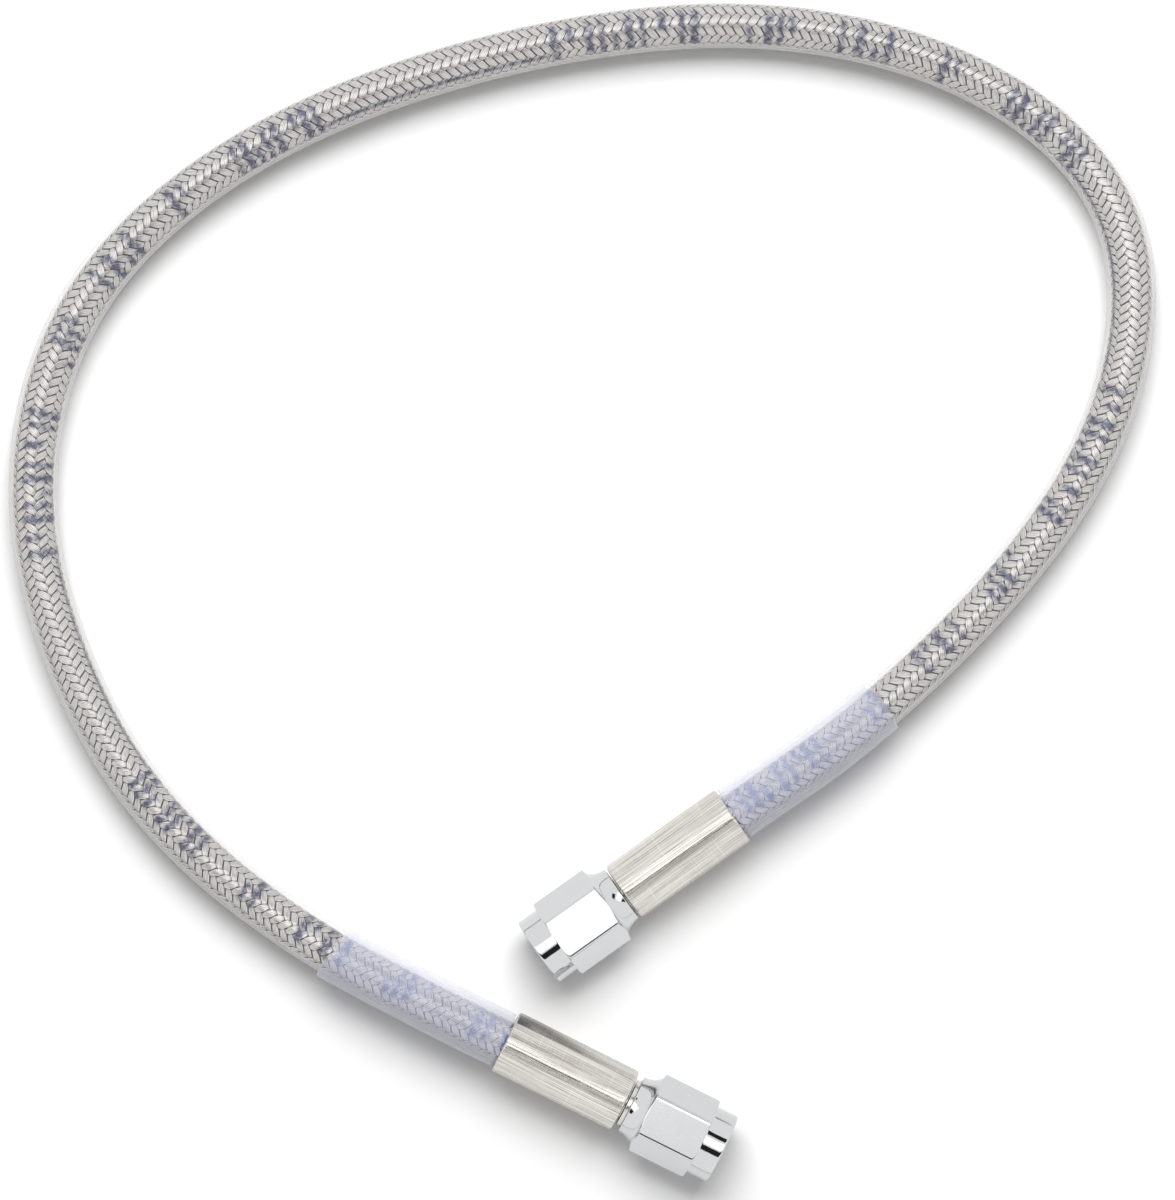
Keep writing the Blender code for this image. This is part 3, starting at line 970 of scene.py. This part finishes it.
def build_collar(label, fitting, material):
    """A crimped collar: a stepped tube with a lip at the end that faces the nut."""
    radius = fitting["collar_radius"]
    end = -COLLAR_LENGTH
    corners = [
        (0.0, COLLAR_LIP_RADIUS, 0.0001),
        (0.0, radius, COLLAR_EDGE),
        (end, radius, COLLAR_EDGE),
        (end, COLLAR_MOUTH_RADIUS, 0.0002),
        (end + COLLAR_MOUTH_DEPTH, COLLAR_MOUTH_RADIUS, 0.0001),
        (end + COLLAR_MOUTH_DEPTH, COLLAR_BORE_RADIUS, 0.0001),
        (-COLLAR_LIP_LENGTH, COLLAR_BORE_RADIUS, 0.0001),
        (-COLLAR_LIP_LENGTH, COLLAR_LIP_RADIUS, 0.0001),
    ]
    outline = refined(filleted(corners), COLLAR_STEP)
    piece = turned(
        "collar_body_" + label, fitting, outline, COLLAR_STEPS_ROUND, material,
        crimp_shape(radius))
    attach(piece, "hose")
    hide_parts("crimp_collar_" + label)


def build_insert(label, fitting, material):
    """Cone seat, head, swivel groove, flange, body and barbed tail."""
    seat_depth = (SEAT_MOUTH_RADIUS - SEAT_THROAT_RADIUS) / math.tan(SEAT_HALF_ANGLE)
    corners = [
        (INSERT_NOSE, SEAT_MOUTH_RADIUS),
        (INSERT_NOSE, INSERT_HEAD_RADIUS),
        (INSERT_SHOULDER, INSERT_HEAD_RADIUS),
        (INSERT_SHOULDER, INSERT_BODY_RADIUS),
        (FLANGE_FRONT, INSERT_BODY_RADIUS),
        (FLANGE_FRONT, FLANGE_RADIUS),
        (FLANGE_BACK, FLANGE_RADIUS),
        (FLANGE_BACK, INSERT_BODY_RADIUS),
        (INSERT_BODY_END, INSERT_BODY_RADIUS),
    ]
    for barb in range(BARB_COUNT):
        top = INSERT_BODY_END - barb * BARB_PITCH
        corners.append((top, BARB_RADIUS))
        corners.append((top - BARB_PITCH, BARB_ROOT_RADIUS))
    corners += [
        (TAIL_END, BARB_ROOT_RADIUS),
        (TAIL_END, INSERT_BORE_RADIUS),
        (INSERT_NOSE - seat_depth - 0.0005, INSERT_BORE_RADIUS),
        (INSERT_NOSE - seat_depth, SEAT_THROAT_RADIUS),
    ]
    corners = [(outlet, radius, INSERT_EDGE) for outlet, radius in corners]
    outline = refined(filleted(corners, 3), INSERT_STEP)
    piece = turned("insert_body_" + label, fitting, outline, INSERT_STEPS_ROUND, material)
    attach(piece, "hose")
    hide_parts("insert_" + label)


def soft_minimum(first, second, blend):
    """The smaller of two, rounded where they meet."""
    share = np.clip(0.5 + 0.5 * (second - first) / blend, 0.0, 1.0)
    return second * (1 - share) + first * share - blend * share * (1 - share)


def nut_shape(front):
    """Trim the turned blank to a hexagon outside, and cut the thread inside."""
    def shape(outlet, turn, radius):
        depth = front - outlet
        sixth = math.tau / 6
        from_flat = np.mod(turn + sixth / 2, sixth) - sixth / 2
        flat = HEX_APOTHEM / np.cos(from_flat)
        outside = soft_minimum(radius, flat, HEX_BLEND)
        phase = np.mod(depth / THREAD_PITCH - turn / math.tau, 1.0)
        slope = THREAD_STEEPNESS * (0.5 - np.abs(phase - 0.5))
        rise = np.clip(slope - THREAD_CREST_FLAT, 0.0, 1.0)
        fade = np.clip((THREAD_END - depth) / THREAD_PITCH, 0.0, 1.0)
        fade = fade * np.clip(depth / (THREAD_LEAD_IN * THREAD_PITCH), 0.0, 1.0)
        groove = radius + (THREAD_ROOT_RADIUS - radius) * rise * fade
        threaded = np.abs(radius - THREAD_CREST_RADIUS) < SAME_RADIUS
        inside = np.where(threaded, groove, radius)
        return np.where(radius > THREAD_ROOT_RADIUS + NUT_SKIN, outside, inside)
    return shape


def nut_outline(front):
    """The blank's outline: front collar, hex body, bell, neck, and back up the bore."""
    corners = [
        (0.0, THREAD_ROOT_RADIUS + 0.00008, 0.00005),
        (0.0, NUT_FRONT_RADIUS, 0.00028),
        (NUT_FRONT_LENGTH, NUT_FRONT_RADIUS, 0.00008),
        (NUT_FRONT_LENGTH, HEX_CORNER_RADIUS, 0.00045),
    ]
    bell_length = NUT_LENGTH - NUT_BELL_START
    drop = HEX_CORNER_RADIUS - NUT_NECK_RADIUS
    end_fillets = {0: 0.00045, NUT_BELL_STEPS: 0.00025}
    for step in range(NUT_BELL_STEPS + 1):
        turn = math.pi / 2 * step / NUT_BELL_STEPS
        depth = NUT_BELL_START + bell_length * (1 - math.cos(turn))
        radius = HEX_CORNER_RADIUS - drop * math.sin(turn)
        corners.append((depth, radius, end_fillets.get(step, 0.0)))
    corners += [
        (NUT_LENGTH, NUT_COUNTERBORE_RADIUS, 0.0002),
        (NUT_LIP_BACK, NUT_COUNTERBORE_RADIUS, 0.0001),
        (NUT_LIP_BACK, NUT_LIP_RADIUS, 0.0001),
        (NUT_LIP_FRONT, NUT_LIP_RADIUS, 0.0001),
        (NUT_LIP_FRONT, THREAD_CREST_RADIUS, 0.0),
        (NUT_MOUTH_CHAMFER, THREAD_CREST_RADIUS, 0.0),
    ]
    rows = refined(filleted(corners), NUT_STEP)
    return [(front - depth, radius) for depth, radius in rows]


def build_nut(label, fitting, material):
    """A swivel nut, on a body of its own."""
    front = NUT_LENGTH + fitting["nut_gap"]
    piece = turned(
        "nut_body_" + label, fitting, nut_outline(front), NUT_STEPS_ROUND, material,
        nut_shape(front))
    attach(piece, "nut_" + label)
    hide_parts("swivel_nut_" + label)


def build_fittings():
    """Collar, insert and nut at both ends."""
    chrome = chrome_material()
    collar = collar_material()
    insert = insert_material()
    for label, fitting in FITTINGS.items():
        build_collar(label, fitting, collar)
        build_insert(label, fitting, insert)
        build_nut(label, fitting, chrome)


# ------------------------------------------------------------------- studio

def build_camera():
    """A camera that looks straight down on the middle of the view."""
    camera = bpy.data.cameras.new("Camera")
    camera.sensor_fit = "VERTICAL"
    camera.sensor_height = SENSOR
    camera.lens = SENSOR * (CAMERA_HEIGHT - SUBJECT_HEIGHT) / VIEW_HEIGHT
    camera.clip_start = 0.01
    camera.clip_end = 20.0
    holder = bpy.data.objects.new("Camera", camera)
    holder.location = (*VIEW_CENTER, CAMERA_HEIGHT)
    bpy.context.scene.collection.objects.link(holder)
    bpy.context.scene.camera = holder


def build_floor():
    """A plain white table top."""
    mesh = bpy.data.meshes.new("floor")
    half = FLOOR_HALF_SIDE
    corners = [(-half, -half, 0), (half, -half, 0), (half, half, 0), (-half, half, 0)]
    mesh.from_pydata(corners, [], [(0, 1, 2, 3)])
    floor = bpy.data.objects.new("floor", mesh)
    bpy.context.scene.collection.objects.link(floor)
    nodes = Nodes("White table")
    grain = nodes.noise(nodes.add("TexCoord").outputs["Object"], 40.0)
    shader = nodes.add("BsdfDiffuse")
    nodes.put(shader, Color=nodes.mix_color(grain, (0.93, 0.93, 0.93, 1), (0.95, 0.95, 0.95, 1)))
    mesh.materials.append(nodes.finish(shader.outputs[0]))


def add_area_light(name, direction, distance, size, power):
    """A softbox that faces the middle of the view."""
    light = bpy.data.lights.new(name, "AREA")
    light.shape = "RECTANGLE"
    light.size = size[0]
    light.size_y = size[1]
    light.energy = power
    holder = bpy.data.objects.new(name, light)
    aim = np.array(direction, float)
    aim /= np.linalg.norm(aim)
    center = np.array([*VIEW_CENTER, 0.0])
    holder.location = center + aim * distance
    holder.rotation_euler = Vector(aim).to_track_quat("Z", "Y").to_euler()
    bpy.context.scene.collection.objects.link(holder)
    return holder


class WorldNodes(Nodes):
    """The same short names, for the world."""

    def __init__(self, name):
        self.owner = bpy.data.worlds.new(name)
        bpy.context.scene.world = self.owner
        self.owner.use_nodes = True
        self.owner.cycles.sampling_method = "NONE"
        self.tree = self.owner.node_tree
        self.tree.nodes.clear()
        self.output = self.tree.nodes.new("ShaderNodeOutputWorld")

    def band(self, value, low, high, blur):
        """One where the value lies between low and high."""
        rising = self.remap(value, low - blur, low + blur, 0.0, 1.0)
        falling = self.remap(value, high - blur, high + blur, 1.0, 0.0)
        return self.math("MULTIPLY", rising, falling)

    def light(self, strength):
        node = self.put(self.add("Background"), Color=(1.0, 1.0, 1.0, 1))
        self.put(node, Strength=strength)
        return node.outputs[0]


def build_world():
    """Even fill for matt things, and a white tent with dark slots for shiny ones."""
    nodes = WorldNodes("Studio")
    way = nodes.add("SeparateXYZ")
    nodes.put(way, Vector=nodes.add("TexCoord").outputs["Generated"])
    rise = nodes.math("MAXIMUM", way.outputs["Z"], 0.02)
    lean_x = nodes.math("DIVIDE", way.outputs["X"], rise)
    lean_y = nodes.math("DIVIDE", way.outputs["Y"], rise)

    def patch(place):
        """One inside a rectangle of the tent."""
        return nodes.math(
            "MULTIPLY", nodes.band(lean_x, *place["x"]), nodes.band(lean_y, *place["y"]))

    bright = patch(TENT_TOP)
    dark = nodes.math("MAXIMUM", *[patch(slot) for slot in TENT_SLOTS])
    tent = nodes.remap(bright, 0.0, 1.0, TENT_LIGHT, TENT_TOP_LIGHT)
    shade = nodes.remap(dark, 0.0, 1.0, 1.0, SLOT_SHADE)
    mirrored = nodes.light(nodes.math("MULTIPLY", tent, shade))

    path = nodes.add("LightPath")
    matt_or_shiny = nodes.put(
        nodes.add("MixShader"), in0=path.outputs["Is Glossy Ray"],
        in1=nodes.light(FILL_LIGHT), in2=mirrored,
    )
    shown = nodes.put(
        nodes.add("MixShader"), in0=path.outputs["Is Camera Ray"],
        in1=matt_or_shiny.outputs[0], in2=nodes.light(1.0),
    )
    nodes.finish(shown.outputs[0])


def build_studio():
    """Table, surroundings, and two softboxes above."""
    build_floor()
    build_world()
    key = add_area_light(
        "Key softbox", direction=(0.0, 0.75, 1.0), distance=1.1, size=(0.9, 0.75), power=15.0)
    key.visible_glossy = False
    add_area_light(
        "Overhead strip", direction=(0.0, 0.06, 1.0), distance=1.3, size=(0.55, 0.40), power=0.35)


def main():
    scene = bpy.context.scene
    scene.view_settings.view_transform = "Standard"
    build_camera()
    line = HoseLine()
    build_hose(line)
    build_fittings()
    build_studio()


main()
